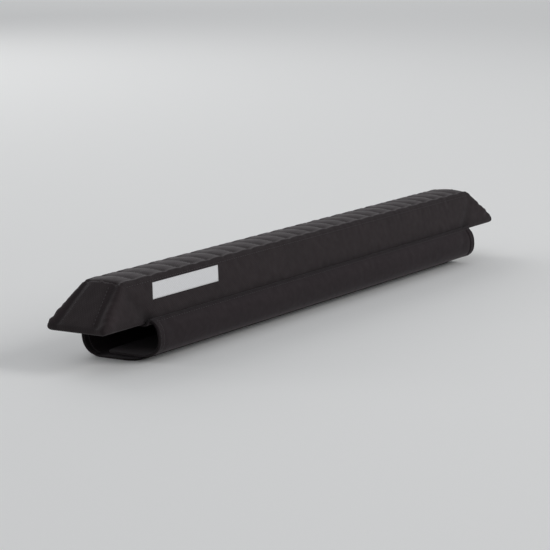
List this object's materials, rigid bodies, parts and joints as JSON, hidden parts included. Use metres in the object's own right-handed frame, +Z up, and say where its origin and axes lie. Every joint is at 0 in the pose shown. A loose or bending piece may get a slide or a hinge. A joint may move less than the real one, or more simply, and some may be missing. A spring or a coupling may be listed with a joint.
{
  "type": "roof rack pad",
  "caption": "Long foam pad in a ribbed fabric cover with sloping ends, and flaps that wrap a wing-shaped roof bar and lap under it.",
  "frame": {"origin": "under the middle of the pad, at the height of its lowest face, the underside of the lapped flaps", "axes": "+X along the bar that the pad sits on, +Y towards the bar's leading edge, +Z up out of the ribbed top"},
  "size_m": [0.76, 0.0852, 0.0776],
  "materials": {
    "foam": "closed-cell foam, matte",
    "cover_fabric": "black woven polyester, faintly purple, matte with a soft sheen",
    "base_fabric": "plain black woven polyester, matte",
    "flap_fabric": "black woven polyester, matte with a soft sheen",
    "loop_tape": "black napped loop tape",
    "hook_tape": "black moulded hook tape"
  },
  "bodies": {
    "root": {"foam_core": "foam", "cover": "cover_fabric", "base_panel": "base_fabric", "front_flap": "flap_fabric", "rear_flap": "flap_fabric", "loop_strip": "loop_tape", "hook_strip": "hook_tape"}
  },
  "joints": []
}
